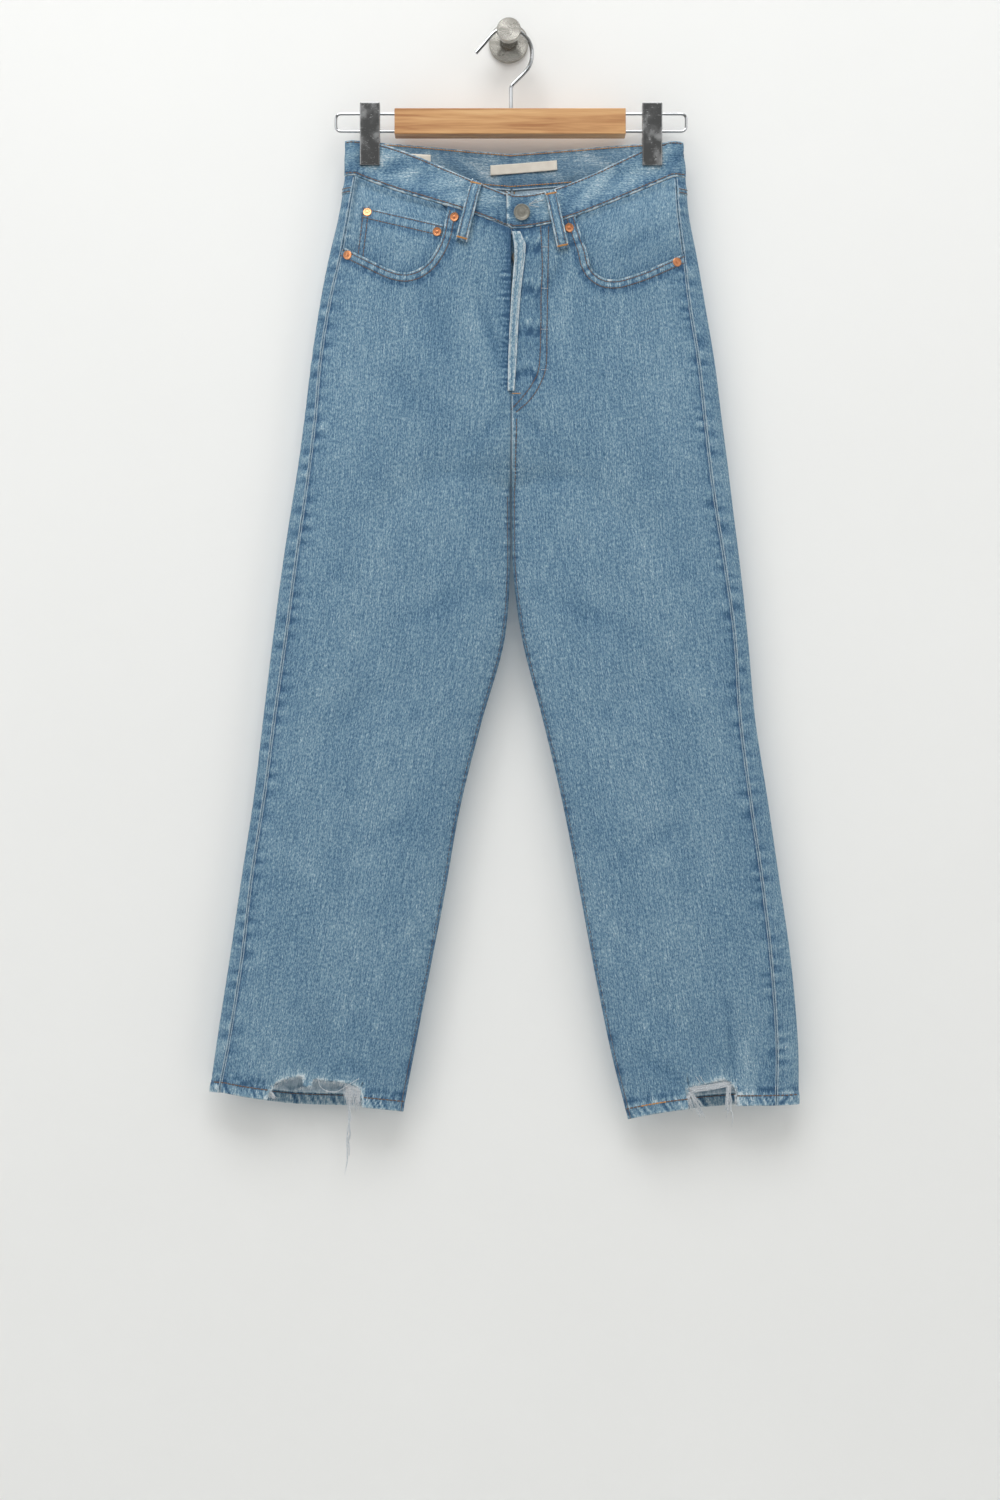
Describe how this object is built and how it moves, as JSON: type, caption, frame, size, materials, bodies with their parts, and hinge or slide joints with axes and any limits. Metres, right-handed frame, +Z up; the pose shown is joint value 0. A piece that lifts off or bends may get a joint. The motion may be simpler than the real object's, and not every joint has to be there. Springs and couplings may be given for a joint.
{
  "type": "jeans on a clip hanger and wall hook",
  "caption": "Straight-leg high-rise denim jeans with a button fly and torn front hems, hung by the waistband from a wooden clip hanger on a round wall hook.",
  "frame": {"origin": "centre of the wall plate's back face, where the wall hook is fixed to a wall", "axes": "+X the viewer's right, +Y into the wall, +Z up; the front of the jeans faces -Y and the wearer's right is at -X"},
  "size_m": [0.6196, 0.0654, 1.2169],
  "materials": {
    "denim": "light-blue washed cotton denim, worn pale at seams and edges",
    "loose_thread": "frayed white cotton yarn",
    "woven_label": "plain cream woven tape",
    "copper": "copper-coloured plated rivet",
    "old_nickel": "aged nickel, satin",
    "chrome": "bright chrome plate",
    "steel": "turned and brushed stainless steel",
    "wood": "clear-lacquered hardwood"
  },
  "bodies": {
    "root": {"back_panel_left": "denim", "back_panel_right": "denim", "back_pocket_left": "denim", "back_pocket_right": "denim", "belt_loop_centre_back": "denim", "belt_loop_front_left": "denim", "belt_loop_front_right": "denim", "belt_loop_side_left": "denim", "belt_loop_side_right": "denim", "care_label": "woven_label", "clip_left": "chrome", "clip_right": "chrome", "coin_pocket": "denim", "fly_button": "old_nickel", "fly_fold": "denim", "fly_underlap": "denim", "fray_left": "loose_thread", "fray_right": "loose_thread", "front_panel_left": "denim", "front_panel_right": "denim", "hanger_bar": "wood", "hanger_hook": "chrome", "hanger_wire_left": "chrome", "hanger_wire_right": "chrome", "pocket_facing_left": "denim", "pocket_facing_right": "denim", "rivet_coin_inner": "copper", "rivet_coin_outer": "copper", "rivet_pocket_side_left": "copper", "rivet_pocket_side_right": "copper", "rivet_pocket_top_left": "copper", "rivet_pocket_top_right": "copper", "size_label": "woven_label", "waist_button": "old_nickel", "waistband": "denim", "wall_plate": "steel", "wall_post": "steel", "yoke_left": "denim", "yoke_right": "denim"}
  },
  "joints": []
}
